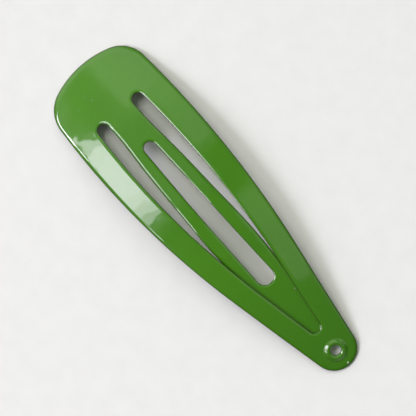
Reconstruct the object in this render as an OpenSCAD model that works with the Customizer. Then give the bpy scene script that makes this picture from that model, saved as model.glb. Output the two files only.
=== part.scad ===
// Snap hair clip, lying face up with its middle arched off the surface.
// X runs along the clip from the broad end to the tip, Y across it, Z up.
// The origin is at the middle of the length, on the surface that it rests on.

/* [Sheet] */
// Length of the clip, seen from above
clip_l = 60.4; // [58:0.1:64]
// Greatest width of the clip
clip_w = 17.72; // [17:0.02:18.6]
// Thickness of the lacquered sheet
sheet_t = 0.55; // [0.45:0.01:0.58]
// Rise of the underside above the middle of its broad end
arch_h = 4.9; // [4.6:0.1:5.4]
// Distance of the highest point from the middle, towards the broad end
arch_back = 3.5; // [3.2:0.1:4.2]
// Radius of the crown across the clip
crown_r = 33; // [28:1:45]

/* [Outline] */
// Distance of the widest point from the broad end
wide_at = 15.72; // [14:0.02:18]
// Radius of the long side curves
side_r = 140; // [125:1:160]
// Radius of the curved broad end
end_r = 15.4; // [14:0.1:18]
// Radius of the two broad corners
corner_r = 4.96; // [4:0.02:5.4]
// Radius of the rounded tip
tip_r = 3.49; // [3.3:0.01:3.8]

/* [Window] */
// Distance of the tongue's root from the broad end
root_at = 9.6; // [9:0.1:10.5]
// Greatest width of the window between the legs
window_w = 9.48; // [9.2:0.02:9.8]
// Distance of the window's widest point from the broad end
window_at = 18.68; // [17:0.02:20]
// Radius of the legs' inner edges
window_r = 143; // [130:1:160]
// Distance of the narrow end's centre from the tip
narrow_at = 7.95; // [7.5:0.05:8.5]
// Radius of the window's narrow end
narrow_r = 1; // [0.8:0.05:1.1]

/* [Tongue] */
// Width of the tongue where it leaves the pad
root_w = 5.12; // [4.8:0.02:5.4]
// Radius of the tongue's own arch, flatter than the broad half of the frame
tongue_arch_r = 119; // [118:0.5:121]
// Turn of the tongue to one side, in degrees
tongue_turn = 0.5; // [0:0.1:0.8]
// Distance of the tongue's tip centre from its root
tongue_l = 42.9; // [42.2:0.1:43.2]
// Radius of the tongue's tip
tongue_tip_r = 2; // [1.8:0.05:2.1]
// Gap along the living hinge at the root
hinge_gap = 0.1; // [0.08:0.01:0.2]

/* [Slot] */
// Distance of the slot's first round end from the root
slot_at = 6.65; // [6:0.05:8]
// Distance of the slot's last round end from the root
slot_end_at = 32.25; // [30:0.05:33]
// Radius of the slot's first round end
slot_r = 0.95; // [0.7:0.05:1]
// Half width of the slot midway, where its taper eases off
slot_mid_r = 1.23; // [1.05:0.01:1.25]
// Radius of the slot's last round end
slot_end_r = 1.37; // [1.25:0.01:1.4]

/* [Eyelet] */
// Distance of the eyelet from the tip
eyelet_at = 3.2; // [3.1:0.05:3.6]
// Radius of the eyelet's bore
bore_r = 0.8; // [0.6:0.05:0.85]
// Wall of the eyelet's shank
shank_wall = 0.25; // [0.2:0.01:0.25]
// Radius of the bead that stands round the bore on top
bead_r = 0.45; // [0.35:0.01:0.47]
// Radius of the smaller bead underneath
foot_r = 0.36; // [0.25:0.01:0.38]
// Clearance between the eyelet and the sheet
seat_gap = 0.05; // [0.04:0.01:0.08]

/* [Hidden] */
$fn = 180;

lacquer = [0.33, 0.56, 0.21];
broad_x = -clip_l / 2;
tip_x = clip_l / 2;
root_x = broad_x + root_at;
arch_x = -arch_back;
broad_arch_r = arch_radius(arch_x - broad_x, arch_h);
stock_h = 2 * arch_h;
sweep = 35;

// The frame's outline is a broad end, a corner, a long side and a tip
end_c = [broad_x + end_r, 0];
side_c = [broad_x + wide_at, clip_w / 2 - side_r];
corner_c = meeting(end_c, end_r - corner_r, side_c, side_r - corner_r);
tip_c = [tip_x - tip_r, 0];
end_turn = heading(end_c, corner_c);
corner_turn = heading(side_c, corner_c);
tip_turn = tangent_turn(side_c, side_r, tip_c, tip_r);

// The window between the legs is two long edges and a narrow end
edge_c = [broad_x + window_at, window_w / 2 - window_r];
narrow_c = [tip_x - narrow_at, 0];
narrow_turn = tangent_turn(edge_c, window_r, narrow_c, narrow_r);
root_turn = acos((root_x - edge_c[0]) / window_r);
window_side = edge_c[1] + window_r * sin(root_turn);
side_slot_r = (window_side - root_w / 2) / 2;
side_slot_y = (window_side + root_w / 2) / 2;

// The tongue swells towards the middle of the clip and tapers beyond it
taper = 7;
TONGUE_ROWS = [
    // distance from the root, half width
    [hinge_gap, root_w / 2],
    [3, root_w / 2 + 0.04],
    [9.5, root_w / 2 + 0.47],
    [17, root_w / 2 + 0.74],
    [25.5, root_w / 2 + 0.97],
    [34, root_w / 2 + 0.5],
    [tongue_l + tongue_tip_r * sin(taper), tongue_tip_r * cos(taper)],
];
row_steps = 4;
slot_mid_at = 17.6;

// The frame rests on its two broad corners, which the crown sets below the mid-line, and on its tip
lift = -min([for (p = frame_outline()) if (p[0] < arch_x) under_z(p[0], p[1])]);
tip_arch_r = arch_radius(tip_x - arch_x, arch_h + lift);
root_z = under_z(root_x, 0);
tongue_axis_z = root_z - sqrt(pow(tongue_arch_r, 2) - pow(root_x - arch_x, 2));

// The eyelet stands square to the sheet
eyelet_x = tip_x - eyelet_at;
eyelet_tilt = asin((eyelet_x - arch_x) / tip_arch_r);
hole_r = bore_r + shank_wall + seat_gap;
bead_sink = 0.1;
shank_over = seat_gap + 0.2;
bead_inset = 0.02;

// Radius of an arc that is level at its start and falls by a height over a run
function arch_radius(run, fall) = (run * run + fall * fall) / (2 * fall);

// Direction from one point to another, in degrees
function heading(a, b) = atan2(b[1] - a[1], b[0] - a[0]);

// Where two circles meet, on the right of the line from a to b
function meeting(a, ra, b, rb) =
    let (d = norm(b - a), u = (b - a) / d)
    let (along = (ra * ra - rb * rb + d * d) / (2 * d))
    a + along * u + sqrt(ra * ra - along * along) * [u[1], -u[0]];

// Direction in which a line touches both circles, on their upper side
function tangent_turn(a, ra, b, rb) = heading(a, b) + acos((ra - rb) / norm(b - a));

// Points on an arc, after its start
function arc(c, r, from, to, n) = [
    for (i = [1 : n])
        let (turn = from + (to - from) * i / n)
        c + r * [cos(turn), sin(turn)]
];

// The lower half of an outline, from the end of its upper half back to the start
function below(half) = [for (i = [len(half) - 2 : -1 : 0]) [half[i][0], -half[i][1]]];

function frame_half() = concat(
    arc(end_c, end_r, 180, end_turn, 8),
    arc(corner_c, corner_r, end_turn, corner_turn, 8),
    arc(side_c, side_r, corner_turn, tip_turn, 14),
    arc(tip_c, tip_r, tip_turn, 0, 12)
);

function frame_outline() = concat([[broad_x, 0]], frame_half(), below(frame_half()));

// Height of the frame's underside above the middle of its broad end
function under_z(x, y) =
    let (r = x < arch_x ? broad_arch_r : tip_arch_r)
    let (reach = r - crown_r + sqrt(crown_r * crown_r - y * y))
    arch_h - r + sqrt(reach * reach - pow(x - arch_x, 2));

// A smooth curve between b and c, which a and d help to steer
function eased(a, b, c, d, t) =
    b + (c - a) * t / 2
    + (2 * a - 5 * b + 4 * c - d) * t * t / 2
    + (3 * b - a - 3 * c + d) * t * t * t / 2;

function smooth(rows) = [
    for (i = [0 : len(rows) - 2])
        for (k = [0 : row_steps - 1])
            let (before = rows[max(i - 1, 0)])
            let (after = rows[min(i + 2, len(rows) - 1)])
            eased(before, rows[i], rows[i + 1], after, k / row_steps)
];

// Part of a curved sheet, arched about the Y axis and crowned across it
module curved_sheet(under_r, from, to) {
    rotate([90, 0, 0])
        rotate_extrude(start = from, angle = to - from)
            translate([under_r - crown_r, 0])
                intersection() {
                    difference() {
                        circle(crown_r + sheet_t);
                        circle(crown_r);
                    }
                    translate([crown_r - clip_w / 4, -clip_w * 0.54])
                        square([clip_w / 2, clip_w * 1.08]);
                }
}

module frame_sheet() {
    translate([arch_x, 0, arch_h - broad_arch_r])
        curved_sheet(broad_arch_r, 90, 90 + sweep);
    translate([arch_x, 0, arch_h - tip_arch_r])
        curved_sheet(tip_arch_r, 90 - sweep, 90);
}

module frame_plan() {
    difference() {
        polygon(frame_outline());
        window_plan();
    }
}

module window_plan() {
    edge = concat(
        [[root_x, window_side]],
        arc(edge_c, window_r, root_turn, narrow_turn, 14),
        arc(narrow_c, narrow_r, narrow_turn, 0, 6)
    );
    polygon(concat(edge, below(edge)));
    for (side = [-1, 1])
        translate([root_x, side * side_slot_y])
            circle(side_slot_r);
}

module tongue_plan() {
    edge = concat(
        smooth(TONGUE_ROWS),
        [TONGUE_ROWS[len(TONGUE_ROWS) - 1]],
        arc([tongue_l, 0], tongue_tip_r, 90 - taper, 0, 8)
    );
    translate([root_x, 0])
        rotate(-tongue_turn)
            difference() {
                polygon(concat(edge, below(edge)));
                slot_plan();
            }
}

module slot_plan() {
    edge = [[slot_at, slot_r], [slot_mid_at, slot_mid_r], [slot_end_at, slot_end_r]];
    polygon(concat(edge, [for (i = [2 : -1 : 0]) [edge[i][0], -edge[i][1]]]));
    translate([slot_at, 0])
        circle(slot_r);
    translate([slot_end_at, 0])
        circle(slot_end_r);
}

module at_eyelet() {
    translate([eyelet_x, 0, lift + under_z(eyelet_x, 0)])
        rotate([0, eyelet_tilt, 0])
            children();
}

module frame() {
    color(lacquer)
        difference() {
            translate([0, 0, lift])
                intersection() {
                    translate([0, 0, -sheet_t])
                        linear_extrude(stock_h)
                            frame_plan();
                    frame_sheet();
                }
            at_eyelet()
                translate([0, 0, -sheet_t])
                    cylinder(r = hole_r, h = 3 * sheet_t);
        }
}

module tongue() {
    color(lacquer)
        translate([0, 0, lift])
            intersection() {
                linear_extrude(stock_h)
                    tongue_plan();
                translate([arch_x, 0, tongue_axis_z])
                    curved_sheet(tongue_arch_r, 90 - sweep, 90 + sweep);
            }
}

module eyelet() {
    color(lacquer)
        at_eyelet()
            rotate_extrude() {
                translate([bore_r, -shank_over])
                    square([shank_wall, sheet_t + 2 * shank_over]);
                half_bead(bead_r, sheet_t, 1);
                half_bead(foot_r, 0, -1);
            }
}

// The section of a rounded rim on one face of the sheet, clear of it by the seat gap
module half_bead(r, face_z, side) {
    clear_z = face_z + side * seat_gap;
    intersection() {
        translate([bore_r + bead_inset + r, face_z - side * bead_sink])
            circle(r);
        translate([bore_r, side > 0 ? clear_z : clear_z - 2 * r])
            square([2.2 * r, 2 * r]);
    }
}

frame();
tongue();
eyelet();
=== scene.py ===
"""A snap hair clip in gloss lacquer on pale paper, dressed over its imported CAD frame.

X runs along the clip from the broad end to the tip, Y across it, Z up. Sizes on the clip, and the
camera's, are in millimetres, and MM scales them to metres. The noise, the bump, the places where a
material changes along the clip, the floor and the light are in metres.
"""

import math

import bmesh
import bpy
import numpy as np
from mathutils import Matrix, Vector
from mathutils.geometry import delaunay_2d_cdt

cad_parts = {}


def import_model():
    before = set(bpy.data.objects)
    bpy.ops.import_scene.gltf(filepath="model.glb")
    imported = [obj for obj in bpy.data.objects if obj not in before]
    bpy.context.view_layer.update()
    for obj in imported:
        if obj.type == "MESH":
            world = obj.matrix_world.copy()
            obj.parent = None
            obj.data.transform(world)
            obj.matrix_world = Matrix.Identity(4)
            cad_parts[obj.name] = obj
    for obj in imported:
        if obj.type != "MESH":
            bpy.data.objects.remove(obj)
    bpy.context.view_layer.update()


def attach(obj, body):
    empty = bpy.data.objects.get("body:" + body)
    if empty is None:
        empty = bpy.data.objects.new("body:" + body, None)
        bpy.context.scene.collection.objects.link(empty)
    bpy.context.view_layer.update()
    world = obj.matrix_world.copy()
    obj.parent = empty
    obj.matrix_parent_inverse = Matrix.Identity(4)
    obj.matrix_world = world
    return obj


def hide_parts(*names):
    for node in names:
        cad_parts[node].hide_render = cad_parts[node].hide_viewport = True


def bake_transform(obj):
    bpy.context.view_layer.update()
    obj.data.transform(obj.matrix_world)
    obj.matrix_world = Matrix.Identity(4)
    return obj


MM = 0.001

# The sheet
SHEET_T = 0.55
ARCH_H = 4.9
ARCH_X = -3.5
CROWN_R = 33.0
LIFT = 0.114246
BROAD_ARCH_R = 75.1939
TIP_ARCH_R = 115.753

# The frame's outline and window, as arc centres, radii and turns in degrees
END_C, END_R = (-14.8, 0.0), 15.4
CORNER_C, CORNER_R = (-24.6294, 3.51805), 4.96
SIDE_C, SIDE_R = (-14.48, -131.14), 140.0
TIP_C, TIP_R = (26.71, 0.0), 3.49
END_TURN, CORNER_TURN, TIP_TURN = 160.307, 94.3103, 79.2909
ROOT_X = -20.6
EDGE_C, EDGE_R = (-11.52, -138.26), 143.0
NARROW_C, NARROW_R = (22.25, 0.0), 1.0
ROOT_TURN, NARROW_TURN = 93.6404, 80.1436
SIDE_SLOT_Y, SIDE_SLOT_R = 3.50572, 0.945717

# The tongue and its slot. A row is the distance from the root and the half width there.
TONGUE_ROWS = ((0, 2.56), (3, 2.6), (9.5, 3.03), (17, 3.3), (25.5, 3.53), (34, 3.06))
SLOT_ROWS = ((6.65, 0.95), (17.6, 1.23), (32.25, 1.37))
TONGUE_L = 42.9
TONGUE_TIP_R = 2.0
TAPER = 7.0
TONGUE_ARCH_R = 119.0
TONGUE_AXIS_Z = -114.835 + LIFT
TONGUE_TURN = math.radians(0.5)
TURN_EASE = 1.5
BEND_L = 10.0

# The eyelet
EYELET_X = 27.0
EYELET_Z = 0.923732
EYELET_TILT = math.radians(15.2773)
BORE_R = 0.8
BORE_Z = (0.14, 0.36)
HOLE_R = 1.1
SHANK_R = 1.2
SHANK_INSET = 0.2
# Its rounded foot, and the thin step round it
FOOT_R = 0.36
FOOT_Z = 0.1
FOOT_OFF_BORE = 0.02
FOOT_TURNS = (-8, -180)
FOOT_STEP = 0.06
FOOT_STEP_Z = (0.06, 0.12)
# The dome round the hole, from the bore over its crest to the sheet. A row is a radius, and the
# height above the sheet's top face there.
DOME_ROWS = (
    (0.8, -0.13),
    (0.8, -0.03),
    (0.815, 0.05),
    (0.85, 0.112),
    (0.9, 0.155),
    (0.98, 0.2),
    (1.08, 0.233),
    (1.22, 0.247),
    (1.33, 0.237),
    (1.41, 0.204),
    (1.47, 0.168),
    (1.54, 0.124),
    (1.62, 0.081),
    (1.7, 0.038),
    (1.77, 0.008),
    (1.84, -0.018),
    (1.9, -0.06),
    (1.92, -0.14),
)

# Rounded edges: width of the roll on top and its fall, then the small lip at the very edge
OUTER_ROLL = (0.55, 0.15)
INNER_ROLL = (0.5, 0.11)
BROAD_ROLL = (0.8, 0.17)
BROAD_ROLL_X = -25.5
BROAD_ROLL_EASE = 3.5
LIP = 0.07
UNDER_R = 0.07

# How fine the meshes are
STEP = 0.28
LONG_SPAN = 1.6 * STEP
SAME_POINT = 0.02
ARC_STEP = 0.09
TONGUE_POINTS = 160
SLOT_POINTS = 100
HOLE_POINTS = 72
ROLL_RINGS = 8
LIP_RINGS = 5
UNDER_RINGS = 4
RIM_RINGS = 9
CUT_POINTS = 15
GRID = 0.7
GRID_ROW = 0.87 * GRID
GRID_CLEAR = 0.4 * GRID
FOOT_POINTS = 20
BORE_POINTS = 3
DOME_POINTS = 48
RING_POINTS = 96

# The step for measuring a slope, the steepest turn with a usable tangent, twice the area under
# which a triangle is left out, and the distance under which two points are one
DELTA = 1e-3
STEEPEST = 1.5707
SLIVER = 1e-5
SAME_PLACE = 1e-7


# Plan curves. Every path has the sheet on its left.


def arc(centre, radius, start, end):
    """Points along an arc from one turn to another, in degrees."""
    swing = abs(math.radians(end - start))
    n = max(int(swing * radius / STEP), int(swing / ARC_STEP), 1)
    turn = np.radians(np.linspace(start, end, n + 1))
    return np.column_stack([centre[0] + radius * np.cos(turn), centre[1] + radius * np.sin(turn)])


def run(a, b):
    """Points along a straight line."""
    n = max(int(math.dist(a, b) / STEP), 1)
    t = np.linspace(0, 1, n + 1)[:, None]
    return np.asarray(a) * (1 - t) + np.asarray(b) * t


def chain(*parts):
    """One path through several, with the same points left out where they meet."""
    points = [parts[0][0]]
    for part in parts:
        for p in part:
            if math.dist(points[-1], p) > SAME_POINT:
                points.append(p)
    return np.array(points)


def mirrored(path):
    """The path reflected across the clip's long axis, walked back."""
    return path[::-1] * (1, -1)


def filled_in(path, closed):
    """The path with long straight spans filled in."""
    ends = np.vstack([path, path[:1]]) if closed else path
    out = [ends[0]]
    for a, b in zip(ends[:-1], ends[1:]):
        out.extend(run(a, b)[1:] if math.dist(a, b) > LONG_SPAN else [b])
    return np.array(out[:-1] if closed else out)


def catmull(xs, ys, x):
    """A smooth curve through points, level at its start and straight on at its end."""
    slope = np.gradient(ys, xs)
    slope[0] = 0
    i = np.clip(np.searchsorted(xs, x, side="right") - 1, 0, len(xs) - 2)
    h = xs[i + 1] - xs[i]
    t = (x - xs[i]) / h
    near = (1 + 2 * t) * (1 - t) ** 2 * ys[i] + t * (1 - t) ** 2 * h * slope[i]
    return near + t * t * (3 - 2 * t) * ys[i + 1] + t * t * (t - 1) * h * slope[i + 1]


def frame_outline():
    upper = chain(
        arc(TIP_C, TIP_R, 0, TIP_TURN),
        arc(SIDE_C, SIDE_R, TIP_TURN, CORNER_TURN),
        arc(CORNER_C, CORNER_R, CORNER_TURN, END_TURN),
        arc(END_C, END_R, END_TURN, 180),
    )
    return filled_in(chain(upper, mirrored(upper))[:-1], True)


def window_path():
    """The window's edge, from the tongue's root round the tip end and back to the root."""
    upper = chain(
        arc((ROOT_X, SIDE_SLOT_Y), SIDE_SLOT_R, 270, 90),
        arc(EDGE_C, EDGE_R, ROOT_TURN, NARROW_TURN),
        arc(NARROW_C, NARROW_R, NARROW_TURN, 0),
    )
    return filled_in(chain(upper, mirrored(upper)), False)


def tongue_side(x):
    """Sideways shift of the tongue, which points a little to one side."""
    u = np.asarray(x, float) - ROOT_X
    return -math.tan(TONGUE_TURN) * (u - TURN_EASE * (1 - np.exp(-u / TURN_EASE)))


def tongue_path():
    taper = math.radians(TAPER)
    end = (TONGUE_L + TONGUE_TIP_R * math.sin(taper), TONGUE_TIP_R * math.cos(taper))
    u = np.linspace(0, end[0], TONGUE_POINTS)
    xs, ys = np.array(TONGUE_ROWS + (end,)).T
    side = np.column_stack([ROOT_X + u, catmull(xs, ys, u)])
    tip = arc((ROOT_X + TONGUE_L, 0), TONGUE_TIP_R, 0, 90 - TAPER)
    upper = chain(tip, side[::-1])
    path = filled_in(chain(mirrored(upper), upper), False)
    path[:, 1] += tongue_side(path[:, 0])
    return path


def slot_path():
    (first, r0), _, (last, r1) = SLOT_ROWS
    u = np.linspace(first, last, SLOT_POINTS)
    xs, ys = np.array(SLOT_ROWS).T
    side = np.column_stack([ROOT_X + u, np.interp(u, xs, ys)])
    # The first arc stops a degree short of the side's first point
    upper = chain(
        arc((ROOT_X + first, 0), r0, 180, 91),
        side,
        arc((ROOT_X + last, 0), r1, 90, 0),
    )
    path = filled_in(chain(upper, mirrored(upper))[:-1], True)
    path[:, 1] += tongue_side(path[:, 0])
    return path


def eyelet_hole():
    turn = np.radians(np.linspace(360, 0, HOLE_POINTS + 1)[:-1])
    squeeze = math.cos(EYELET_TILT)
    return np.column_stack([EYELET_X + HOLE_R * squeeze * np.cos(turn), HOLE_R * np.sin(turn)])


def outward(path, closed):
    """Unit vectors off the sheet, square to the path."""
    if closed:
        d = np.roll(path, -1, 0) - np.roll(path, 1, 0)
    else:
        d = np.gradient(path, axis=0)
        d[0], d[-1] = (np.sign(d[0][0]), 0), (np.sign(d[-1][0]), 0)
    d /= np.linalg.norm(d, axis=1)[:, None]
    return np.column_stack([d[:, 1], -d[:, 0]])


def inside(points, loop):
    """Which points lie inside a closed loop."""
    x, y = points.T
    found = np.zeros(len(points), bool)
    for (x0, y0), (x1, y1) in zip(loop, np.roll(loop, -1, 0)):
        if y0 != y1:
            found ^= ((y0 > y) != (y1 > y)) & (x < (x1 - x0) * (y - y0) / (y1 - y0) + x0)
    return found


def on_sheet(points, bounds):
    """Which points lie inside the first bound and outside the others."""
    keep = inside(points, bounds[0])
    for bound in bounds[1:]:
        keep &= ~inside(points, bound)
    return keep


# Heights of the sheet above the floor, at a level from 0 underneath to its thickness on top


def arched(x, y, level, arch_r, axis_z):
    across = np.sqrt((CROWN_R + level) ** 2 - y * y)
    return axis_z + np.sqrt((arch_r - CROWN_R + across) ** 2 - (x - ARCH_X) ** 2)


def frame_height(x, y, level):
    r = np.where(x < ARCH_X, BROAD_ARCH_R, TIP_ARCH_R)
    return arched(x, y, level, r, LIFT + ARCH_H - r)


def tongue_height(x, y, level):
    """The tongue's own flatter arch, bent smoothly out of the pad at its root."""
    own = arched(x, y, level, TONGUE_ARCH_R, TONGUE_AXIS_Z)
    u = np.clip((x - ROOT_X) / BEND_L, 0, 1)
    at = np.full_like(x, ROOT_X)
    step = frame_height(at, y, level) - arched(at, y, level, TONGUE_ARCH_R, TONGUE_AXIS_Z)
    kink = (
        frame_height(at + DELTA, y, level)
        - arched(at + DELTA, y, level, TONGUE_ARCH_R, TONGUE_AXIS_Z)
        - step
    ) / DELTA
    return own + step * (1 - u) ** 2 * (1 + 2 * u) + kink * BEND_L * u * (1 - u) ** 2


def gradient(height, x, y, level):
    along = height(x + DELTA, y, level) - height(x - DELTA, y, level)
    across = height(x, y + DELTA, level) - height(x, y - DELTA, level)
    return np.column_stack([along / (2 * DELTA), across / (2 * DELTA)])


def unit(v):
    return v / np.linalg.norm(v, axis=1)[:, None]


# Meshes


def edge_rows(width, fall):
    """The section of a rounded edge, from the top face round to the underside.

    A row is its inset from the path, its drop from the top face or its rise from the underside,
    the outward lean of its normal, and whether it is measured from the top face.
    """
    soft = width - LIP
    end_slope = 2 * fall / soft
    lip_turn = np.arctan(end_slope)
    lip_r = LIP / (1 - np.sin(lip_turn))
    none = 0 * width
    rows = []
    for s in np.linspace(0, 1, ROLL_RINGS):
        rows.append((LIP + soft * (1 - s), fall * s * s, end_slope * s, True))
    for s in np.linspace(0, 1, LIP_RINGS + 1)[1:]:
        turn = lip_turn + (math.pi / 2 - lip_turn) * s
        inset = LIP - lip_r * (np.sin(turn) - np.sin(lip_turn))
        drop = fall + lip_r * (np.cos(lip_turn) - np.cos(turn))
        rows.append((np.maximum(inset, 0), drop, np.tan(np.minimum(turn, STEEPEST)), True))
    for s in np.linspace(0, 1, UNDER_RINGS):
        turn = math.pi / 2 * (1 - s)
        inset = UNDER_R * (1 - math.sin(turn))
        rise = UNDER_R * (1 - math.cos(turn))
        slope = math.tan(min(turn, STEEPEST))
        rows.append((none + inset, none + rise, none + slope, False))
    rows.append((width, none, none, False))
    return rows


class Loop:
    """An edge of the sheet: its path, the way off the sheet, and its roll along the way."""

    def __init__(self, path, closed, width, fall):
        self.path, self.closed = path, closed
        self.off = outward(path, closed)
        width = np.broadcast_to(width, len(path)).astype(float)
        fall = np.broadcast_to(fall, len(path)).astype(float)
        self.rows = edge_rows(width, fall)

    def ring(self, k):
        return self.path - self.off * self.rows[k][0][:, None]


class SheetPoints:
    """A sheet's points, with their normals and how far into the rim each one is."""

    def __init__(self, height):
        self.height = height
        self.xy, self.z, self.normal, self.rim = [], [], [], []

    def add(self, xy, top, drop=0.0, lean=0.0, rim=0.0):
        """Add points on the top face or the underside, and return their numbers."""
        first = sum(map(len, self.xy))
        side = 1 if top else -1
        level = np.full(len(xy), SHEET_T if top else 0.0)
        slope = gradient(self.height, xy[:, 0], xy[:, 1], level)
        normal = np.column_stack([-side * slope + lean, np.full(len(xy), side)])
        self.xy.append(xy)
        self.z.append(self.height(xy[:, 0], xy[:, 1], level) - side * drop)
        self.normal.append(unit(normal))
        self.rim.append(np.full(len(xy), rim))
        return list(range(first, first + len(xy)))

    def add_rings(self, loop):
        """Add a loop's rings, from the top face round to the underside."""
        rings = []
        for k, (_, drop, slope, top) in enumerate(loop.rows):
            rim = min(k / RIM_RINGS, 1.0) if top else 1.0
            rings.append(self.add(loop.ring(k), top, drop, loop.off * slope[:, None], rim))
        return rings


def inner_grid(bounds):
    """Staggered points on the sheet, clear of its edges."""
    edge = np.vstack(bounds)
    lo, hi = edge.min(0), edge.max(0)
    x, y = np.meshgrid(np.arange(lo[0], hi[0], GRID), np.arange(lo[1], hi[1], GRID_ROW))
    x[1::2] += GRID / 2
    grid = np.column_stack([x.ravel(), y.ravel()])
    grid = grid[on_sheet(grid, bounds)]
    gap = np.array([np.min(np.hypot(*(edge - p).T)) for p in grid])
    return grid[gap > GRID_CLEAR]


def triangles(bounds, numbers, grid, grid_numbers):
    """Triangles that fill the sheet between its bounds, as point numbers."""
    ids, edges = [], []
    for bound in numbers:
        start, n = len(ids), len(bound)
        edges += [(start + j, start + (j + 1) % n) for j in range(n)]
        ids += bound
    ids += grid_numbers
    flat = [Vector(p) for p in np.vstack([*bounds, grid])]
    places, _, tris, origin = delaunay_2d_cdt(flat, edges, [], 0, SAME_PLACE)[:4]
    tri = np.array([[places[i] for i in t] for t in tris])
    (ax, ay), (bx, by) = (tri[:, 1] - tri[:, 0]).T, (tri[:, 2] - tri[:, 0]).T
    keep = on_sheet(tri.mean(1), bounds) & (np.abs(ax * by - ay * bx) > SLIVER)
    return [[ids[origin[i][0]] for i in t] for t, ok in zip(tris, keep) if ok]


def edge_faces(rings, closed):
    """The faces between a loop's rings."""
    n = len(rings[0])
    faces = []
    for j in range(n if closed else n - 1):
        m = (j + 1) % n
        for r0, r1 in zip(rings[:-1], rings[1:]):
            faces.append((r0[j], r1[j], r1[m], r0[m]))
    return faces


def cut_face(rings, cut, under):
    """The face that closes the sheet where the pad and the tongue are cut apart."""
    face = [r[0] for r in rings]
    face += [under[i] for i in cut[::-1]]
    face += [r[-1] for r in rings[::-1]]
    face += cut
    return face[::-1]


def smooth_mesh(name, places, faces, rim):
    """A smooth mesh of places in metres, with its rim attribute."""
    me = bpy.data.meshes.new(name)
    me.from_pydata(places, [], faces)
    me.update()
    me.attributes.new("rim", "FLOAT", "POINT").data.foreach_set("value", rim)
    me.polygons.foreach_set("use_smooth", [True] * len(me.polygons))
    return me


def sheet_mesh(name, loops, height, cut_side):
    """A closed sheet between its edge loops.

    The first loop bounds it, and the open loop ends on the cut at the tongue's root.
    """
    points = SheetPoints(height)
    rings = [points.add_rings(loop) for loop in loops]

    open_at = next(i for i, loop in enumerate(loops) if not loop.closed)
    bounds = [loop.ring(0) for loop in loops]
    ends = bounds[open_at][[-1, 0]]
    t = np.linspace(0, 1, CUT_POINTS + 2)[1:-1, None]
    cut = ends[0] * (1 - t) + ends[1] * t
    bounds[open_at] = np.vstack([bounds[open_at], cut])
    grid = inner_grid(bounds)

    free = np.vstack([cut, grid])
    over = points.add(free, True)
    below = points.add(free, False)
    cut_numbers, grid_numbers = over[: len(cut)], over[len(cut) :]
    under = dict(zip(over, below))
    for loop_rings in rings:
        under.update(zip(loop_rings[0], loop_rings[-1]))

    numbers = [loop_rings[0] for loop_rings in rings]
    numbers[open_at] = numbers[open_at] + cut_numbers
    faces = []
    for a, b, c in triangles(bounds, numbers, grid, grid_numbers):
        faces += [(a, b, c), (under[c], under[b], under[a])]
    for loop, loop_rings in zip(loops, rings):
        faces += edge_faces(loop_rings, loop.closed)
    faces.append(cut_face(rings[open_at], cut_numbers, under))

    places = np.column_stack([np.vstack(points.xy), np.concatenate(points.z)]) * MM
    rim = np.concatenate(points.rim).astype(np.float32)
    me = smooth_mesh(name, places.tolist(), faces, rim)
    normals = np.vstack(points.normal)
    corner = [Vector(normals[l.vertex_index]) for l in me.loops]
    for l in me.polygons[len(faces) - 1].loop_indices:
        corner[l] = Vector((cut_side, 0, 0))
    me.normals_split_custom_set(corner)
    return linked(name, me)


def linked(name, data):
    o = bpy.data.objects.new(name, data)
    bpy.context.scene.collection.objects.link(o)
    return o


def make_frame_skin():
    outline = frame_outline()
    broad = np.clip((BROAD_ROLL_X - outline[:, 0]) / BROAD_ROLL_EASE, 0, 1)
    broad = broad * broad * (3 - 2 * broad)
    width = OUTER_ROLL[0] + (BROAD_ROLL[0] - OUTER_ROLL[0]) * broad
    fall = OUTER_ROLL[1] + (BROAD_ROLL[1] - OUTER_ROLL[1]) * broad
    loops = [
        Loop(outline, True, width, fall),
        Loop(window_path(), False, *INNER_ROLL),
        Loop(eyelet_hole(), True, *INNER_ROLL),
    ]
    return sheet_mesh("frame_skin", loops, frame_height, 1)


def make_tongue_skin():
    loops = [Loop(tongue_path(), False, *INNER_ROLL), Loop(slot_path(), True, *INNER_ROLL)]
    return sheet_mesh("tongue_skin", loops, tongue_height, -1)


def eyelet_section():
    """Radius and height of the eyelet's section.

    It runs from the foot's outside round through the bore, over the dome and back down the shank.
    """
    foot_x = BORE_R + FOOT_OFF_BORE + FOOT_R
    step_x = foot_x + FOOT_R + FOOT_STEP
    rows = [(step_x, FOOT_STEP_Z[0])]
    for turn in np.radians(np.linspace(*FOOT_TURNS, FOOT_POINTS)):
        rows.append((foot_x + FOOT_R * math.cos(turn), FOOT_Z + FOOT_R * math.sin(turn)))
    rows += [(BORE_R, z) for z in np.linspace(*BORE_Z, BORE_POINTS)]
    dome = np.array(DOME_ROWS)
    along = np.concatenate([[0], np.cumsum(np.hypot(*np.diff(dome, axis=0).T))])
    at = np.linspace(0, along[-1], DOME_POINTS)
    rows += list(zip(catmull(along, dome[:, 0], at), SHEET_T + catmull(along, dome[:, 1], at)))
    rows += [(SHANK_R, SHEET_T - SHANK_INSET), (SHANK_R, SHANK_INSET), (step_x, FOOT_STEP_Z[1])]
    return rows


def make_eyelet_ring():
    rows = eyelet_section()
    m, n = len(rows), RING_POINTS
    place = Matrix.Translation((EYELET_X, 0, EYELET_Z)) @ Matrix.Rotation(EYELET_TILT, 4, "Y")
    places = []
    for r, h in rows:
        for j in range(n):
            a = 2 * math.pi * j / n
            places.append((place @ Vector((r * math.cos(a), r * math.sin(a), h))) * MM)
    faces = []
    for i in range(m):
        for j in range(n):
            k, l = (i + 1) % m, (j + 1) % n
            faces.append((i * n + j, k * n + j, k * n + l, i * n + l))
    return linked("eyelet_ring", smooth_mesh("eyelet_ring", places, faces, [0.0] * len(places)))


# Materials

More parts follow.
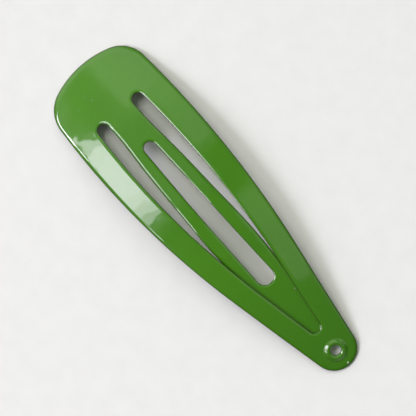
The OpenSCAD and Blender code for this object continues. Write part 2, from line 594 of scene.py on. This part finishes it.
GREEN = (0.0345, 0.14, 0.0042, 1)
GREEN_PALE = (0.041, 0.155, 0.0055, 1)
GREEN_DEEP = (0.029, 0.119, 0.0037, 1)
GREEN_FLECK = (0.09, 0.26, 0.03, 1)
# Painted shade: a dark green laid on the rolled edges and their undersides, a dark outline where
# the edge turns from the light
GREEN_EDGE_SHADE = (0.02, 0.045, 0.005, 1)
# Where along the clip the deeper green sets in, and the share that it, the flecks and the painted
# shade on the rolled edges reach
DEEP_X, DEEP_SHARE = (0.005, 0.018), 0.5
FLECK_SHARE = 0.3
EDGE_SHADE_RANGE, EDGE_SHADE_SHARE = (0.55, 0.85), 0.92
# A clear coat over a base that hardly shines. The eyelet's is set glossier, to match its streak.
SHEET_COAT_IOR = 1.45
EYELET_COAT_IOR = 1.6
COAT_ROUGH = 0.04
BASE_IOR = 1.45
BASE_GLOSS = 0.1
BASE_ROUGH = (0.14, 0.2)
# Scales of the noise, in cells to a metre, and the part of its range that is used
PATCH_SCALE = 90
PATCH_RANGE = (0.35, 0.65)
GLOSS_SCALE = 300
GLOSS_RANGE = (0.3, 0.7)
WAVE_SCALE = 330
PEEL_SCALE = 1500
FLECK_SCALE = 2600
FLECK_RANGE = (0.72, 0.8)
# The lacquer's slow waves, which are weaker from the pad on and weakest at the tip, and its peel
WAVE_H = 0.00006
WAVE_BROAD_X, WAVE_SHARE = (-0.015, -0.022), 0.6
WAVE_TIP_X, WAVE_TIP_SHARE = (0.012, 0.022), 0.15
PEEL_H = 0.0000008
# Nibs of dust under the lacquer, real bumps in the coat, each with a painted glint, a pale spot
# standing in for the highlight on it: place, radius, and how strong its painted glint is. Less than
# 0 takes another nib's painted glint away where the two overlap.
NIBS = (
    (29.75, 0.1, 0.17, 0.9),
    (29.85, -0.05, 0.12, -0.9),
    (-25.1, -1.8, 0.12, 0.35),
    (-26.3, -2.2, 0.1, 0.3),
    (-25.4, -4.3, 0.1, 0.3),
    (22.9, 0.75, 0.14, 0.5),
    (16.1, 1.8, 0.12, 0.3),
)
NIB_H = 0.00012
# The pale colour of the painted glint on the nibs
NIB_GLINT_PAINT = (0.75, 0.85, 0.7, 1)

PAPER_LOW = (0.572, 0.58, 0.61, 1)
PAPER_HIGH = (0.592, 0.6, 0.63, 1)
PAPER_TONE_SCALE = 350
PAPER_TONE_RANGE = (0.3, 0.7)
PAPER_GRAIN_SCALE = 420
PAPER_GRAIN_H = 0.00012
PAPER_GRAIN = 0.6
PAPER_ROUGH = 0.9
PAPER_GLOSS = 0.1
BOARD_W = 4.0
BOARD_T = 0.03


class Nodes:
    """Short calls for a material's nodes."""

    def __init__(self, material):
        material.use_nodes = True
        self.tree = material.node_tree
        self.tree.nodes.clear()

    def add(self, kind, **inputs):
        """Add a node: set_x sets a property, i2 is the third input, and a name is that input."""
        node = self.tree.nodes.new(kind)
        for key, value in inputs.items():
            if key.startswith("set_"):
                setattr(node, key[4:], value)
                continue
            socket = node.inputs[int(key[1:]) if key[1:].isdigit() else key.replace("_", " ")]
            if isinstance(value, bpy.types.NodeSocket):
                self.tree.links.new(value, socket)
            else:
                socket.default_value = value
        return node

    def noise(self, where, scale, detail):
        sizes = {"Scale": scale, "Detail": detail, "Roughness": 0.5}
        return self.add("ShaderNodeTexNoise", Vector=where, **sizes).outputs["Fac"]

    def mapped(self, value, start, end, low=0, high=1):
        ranges = {"i1": start, "i2": end, "i3": low, "i4": high}
        return self.add("ShaderNodeMapRange", i0=value, **ranges).outputs[0]

    def mixed(self, share, a, b):
        return self.add("ShaderNodeMix", set_data_type="RGBA", i0=share, i6=a, i7=b).outputs[2]

    def maths(self, how, a, b):
        return self.add("ShaderNodeMath", set_operation=how, i0=a, i1=b).outputs[0]

    def bump(self, distance, height, strength=1.0, **normal):
        sizes = {"Strength": strength, "Distance": distance}
        return self.add("ShaderNodeBump", **sizes, Height=height, **normal).outputs[0]


def lacquer(name, coat_ior):
    m = bpy.data.materials.new(name)
    n = Nodes(m)
    where = n.add("ShaderNodeTexCoord").outputs["Object"]
    patch = n.mapped(n.noise(where, PATCH_SCALE, 3), *PATCH_RANGE)
    along = n.add("ShaderNodeSeparateXYZ", i0=where).outputs[0]
    colour = n.mixed(patch, GREEN, GREEN_PALE)
    colour = n.mixed(n.mapped(along, *DEEP_X, 0, DEEP_SHARE), colour, GREEN_DEEP)
    fleck = n.mapped(n.noise(where, FLECK_SCALE, 1), *FLECK_RANGE)
    colour = n.mixed(n.maths("MULTIPLY", fleck, FLECK_SHARE), colour, GREEN_FLECK)
    rim = n.add("ShaderNodeAttribute", set_attribute_name="rim").outputs["Fac"]
    # Painted shade darkens the rolled edges, following the rim attribute
    colour = n.mixed(n.mapped(rim, *EDGE_SHADE_RANGE, 0, EDGE_SHADE_SHARE), colour, GREEN_EDGE_SHADE)
    uneven = n.mapped(along, *WAVE_BROAD_X, WAVE_SHARE, 1)
    uneven = n.maths("MULTIPLY", uneven, n.mapped(along, *WAVE_TIP_X, 1, WAVE_TIP_SHARE))
    wave = n.maths("MULTIPLY", n.noise(where, WAVE_SCALE, 1), uneven)
    peel = n.noise(where, PEEL_SCALE, 2)
    bump = n.bump(WAVE_H, wave)
    bump = n.bump(PEEL_H, peel, Normal=bump)
    nibs = glint_paint = 0.0
    flat = n.add("ShaderNodeVectorMath", set_operation="MULTIPLY", i0=where, i1=(1, 1, 0))
    plan = flat.outputs[0]
    for x, y, r, glint_share in NIBS:
        spot = (x * MM, y * MM, 0)
        away = n.add("ShaderNodeVectorMath", set_operation="DISTANCE", i0=plan, i1=spot)
        nib = n.mapped(away.outputs["Value"], r * MM, 0)
        nibs = n.maths("ADD", nibs, nib)
        glint_paint = n.maths("ADD", glint_paint, n.maths("MULTIPLY", nib, glint_share))
    # Painted glint: the nibs' spots are mixed towards a pale colour
    colour = n.mixed(n.maths("MAXIMUM", glint_paint, 0.0), colour, NIB_GLINT_PAINT)
    bump = n.bump(NIB_H, nibs, Normal=bump)
    rough = n.mapped(n.noise(where, GLOSS_SCALE, 3), *GLOSS_RANGE, *BASE_ROUGH)
    shader = n.add(
        "ShaderNodeBsdfPrincipled",
        Base_Color=colour,
        Roughness=rough,
        Normal=bump,
        Coat_Normal=bump,
    )
    shader.inputs["Coat Weight"].default_value = 1.0
    shader.inputs["Coat Roughness"].default_value = COAT_ROUGH
    shader.inputs["Coat IOR"].default_value = coat_ior
    shader.inputs["IOR"].default_value = BASE_IOR
    shader.inputs["Specular IOR Level"].default_value = BASE_GLOSS
    n.add("ShaderNodeOutputMaterial", Surface=shader.outputs[0])
    return m


def paper():
    m = bpy.data.materials.new("paper")
    n = Nodes(m)
    where = n.add("ShaderNodeTexCoord").outputs["Object"]
    tone = n.mapped(n.noise(where, PAPER_TONE_SCALE, 4), *PAPER_TONE_RANGE)
    colour = n.mixed(tone, PAPER_LOW, PAPER_HIGH)
    bump = n.bump(PAPER_GRAIN_H, n.noise(where, PAPER_GRAIN_SCALE, 4), PAPER_GRAIN)
    surface = {"Base_Color": colour, "Roughness": PAPER_ROUGH, "Normal": bump}
    shader = n.add("ShaderNodeBsdfPrincipled", **surface)
    shader.inputs["Specular IOR Level"].default_value = PAPER_GLOSS
    n.add("ShaderNodeOutputMaterial", Surface=shader.outputs[0])
    return m


def make_floor():
    """A thick pale board under the clip."""
    board = bmesh.new()
    bmesh.ops.create_cube(board, size=1.0)
    size = Matrix.Diagonal((BOARD_W, BOARD_W, BOARD_T, 1.0))
    bmesh.ops.transform(board, matrix=size, verts=board.verts)
    bmesh.ops.translate(board, vec=(0, 0, -BOARD_T / 2), verts=board.verts)
    me = bpy.data.meshes.new("floor")
    board.to_mesh(me)
    board.free()
    floor = linked("floor", me)
    floor.data.materials.append(paper())


# Light: a window on the -Y side, whose plane leans over the clip, in a pale room, dim overhead

WINDOW_D = 0.7
WINDOW_EL = math.radians(50)
WINDOW_LIGHT = (1.06, 1.0, 1.1)
# Each pane: its left, right, lower and upper edge in the window's plane, as shares of its
# distance, its radiance, and whether it lights the scene or only glints in the lacquer
PANES = (
    ("pane_left", -0.57, -0.49, 0.09, 0.345, 8.0, True),
    ("pane_top_left", -0.49, -0.41, 0.08, 0.345, 11.5, True),
    ("pane_top", -0.41, -0.22, 0.08, 0.345, 12.0, True),
    ("pane_top_right", -0.22, -0.15, 0.08, 0.345, 11.0, True),
    ("pane_right", -0.15, -0.105, 0.08, 0.345, 8.5, True),
    ("pane_far_right", -0.105, -0.065, 0.09, 0.34, 5.5, True),
    ("pane_bright", -0.36, -0.25, 0.08, 0.36, 3.5, True),
    ("pane_bright_low", -0.33, -0.22, 0.08, 0.22, 2.5, True),
    ("pane_middle", -0.41, -0.07, -0.08, 0.08, 6.5, True),
    ("pane_middle_glint", -0.41, -0.07, -0.08, 0.08, 6.5, False),
    ("pane_low_left", -0.62, -0.42, -0.16, 0.02, 30.0, False),
    ("pane_low", -0.9, -0.5, -0.5, -0.16, 28.0, False),
    ("pane_side", -0.05, 0.03, -0.3, 0.035, 9.0, True),
)
# A soft light from overhead, over the broad end, that lifts the shade and doesn't glint
FILL_ANGLE = math.radians(24)
FILL_TILT = math.radians(-28)
FILL_LIGHT = (1.02, 1.0, 0.86)
FILL_POWER = 1.2
# The room's paler and darker places: bounds in X, Y and Z of the direction, softness and radiance.
# A bound past 1 either way isn't there.
ROOM_PATCHES = (
    (-2.0, -0.01, -2.0, 0.24, 0.6, 2.0, 0.02, 0.48),
    (-2.0, -0.15, 0.24, 2.0, 0.6, 2.0, 0.03, 0.48),
    (-0.42, -0.15, 0.24, 2.0, 0.6, 2.0, 0.03, 0.55),
    (-2.0, -0.42, 0.0, 2.0, 0.6, 2.0, 0.06, 0.95),
    (0.065, 0.36, 0.105, 2.0, 0.6, 2.0, 0.015, 0.75),
    (0.3, 0.6, 0.4, 0.8, 0.4, 2.0, 0.05, 0.6),
    (-2.0, -0.5, -0.55, 0.5, -2.0, 0.64, 0.1, 1.3),
    (0.2, 2.0, -2.0, 2.0, -2.0, 0.66, 0.15, -0.34),
)
ROOM_DARK = 0.22
ROOM_SIDES = 0.42
ROOM_Z = (0.76, 0.57)
TINT_SIDES = (1.04, 1.0, 0.93, 1)
TINT_OVERHEAD = (1.0, 1.05, 0.85, 1)
TINT_Z = (0.5, 0.8)


def pane(name, left, right, low, high, radiance, lights):
    light = bpy.data.lights.new(name, "AREA")
    light.shape = "RECTANGLE"
    light.size = (right - left) * WINDOW_D
    light.size_y = (high - low) * WINDOW_D
    light.color = WINDOW_LIGHT
    light.energy = radiance * math.pi * light.size * light.size_y
    out = Vector((0, -math.cos(WINDOW_EL), math.sin(WINDOW_EL)))
    up = Vector((0, math.sin(WINDOW_EL), math.cos(WINDOW_EL)))
    side = Vector((1, 0, 0))
    turn = Matrix((side, up, side.cross(up))).transposed().to_4x4()
    middle = out + side * (left + right) / 2 + up * (low + high) / 2
    o = linked(name, light)
    o.matrix_world = Matrix.Translation(middle * WINDOW_D) @ turn
    o.visible_camera = False
    o.visible_diffuse = lights


def make_fill():
    light = bpy.data.lights.new("fill", "SUN")
    light.angle = FILL_ANGLE
    light.color = FILL_LIGHT
    light.energy = FILL_POWER
    o = linked("fill", light)
    o.rotation_euler = (0, FILL_TILT, 0)
    o.visible_glossy = False


def make_room():
    world = bpy.data.worlds.new("room")
    bpy.context.scene.world = world
    n = Nodes(world)
    way = n.add("ShaderNodeTexCoord").outputs["Generated"]
    x, y, z = n.add("ShaderNodeSeparateXYZ", i0=way).outputs
    room = n.mapped(z, *ROOM_Z, ROOM_DARK, ROOM_SIDES)
    for x0, x1, y0, y1, z0, z1, soft, radiance in ROOM_PATCHES:
        share = radiance
        for value, low, high in ((x, x0, x1), (y, y0, y1), (z, z0, z1)):
            if low > -1:
                share = n.maths("MULTIPLY", share, n.mapped(value, low - soft, low + soft))
            if high < 1:
                fade = n.mapped(value, high - soft, high + soft, 1, 0)
                share = n.maths("MULTIPLY", share, fade)
        room = n.maths("ADD", room, share)
    tint = n.mixed(n.mapped(z, *TINT_Z), TINT_SIDES, TINT_OVERHEAD)
    shade = n.add("ShaderNodeBackground", Color=tint, Strength=room)
    n.add("ShaderNodeOutputWorld", Surface=shade.outputs[0])


def make_light():
    for row in PANES:
        pane(*row)
    make_fill()
    make_room()


# Camera: nearly straight down, leaning towards +Y, with the clip's tip at the lower right

LOOK_AT = Vector((-1.53, 0.09, 0.5))
VIEW_W = 62.4
CAMERA_D = 600.0
CAMERA_CLIP = (0.01, 10)
SENSOR_W = 36
LEAN = math.radians(3.7)
PHOTO_RIGHT = Vector((0.672, 0.741, 0)).normalized()


def make_camera():
    data = bpy.data.cameras.new("camera")
    data.sensor_width = SENSOR_W
    data.lens = SENSOR_W * CAMERA_D / VIEW_W
    data.clip_start, data.clip_end = CAMERA_CLIP
    camera = linked("camera", data)
    back = Vector((0, math.sin(LEAN), math.cos(LEAN)))
    right = (PHOTO_RIGHT - back * PHOTO_RIGHT.dot(back)).normalized()
    up = back.cross(right)
    turn = Matrix((right, up, back)).transposed().to_4x4()
    camera.matrix_world = Matrix.Translation((LOOK_AT + back * CAMERA_D) * MM) @ turn
    bpy.context.scene.camera = camera


def main():
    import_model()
    sheet_coat = lacquer("lacquer", SHEET_COAT_IOR)
    eyelet_coat = lacquer("eyelet_lacquer", EYELET_COAT_IOR)
    for maker, node, coat in (
        (make_frame_skin, "frame", sheet_coat),
        (make_tongue_skin, "tongue", sheet_coat),
        (make_eyelet_ring, "eyelet", eyelet_coat),
    ):
        piece = maker()
        piece.data.materials.append(coat)
        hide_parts(node)
        if node == "tongue":
            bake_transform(piece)
        else:
            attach(piece, "frame")
    make_floor()
    make_light()
    make_camera()
    bpy.context.scene.view_settings.view_transform = "Standard"


main()
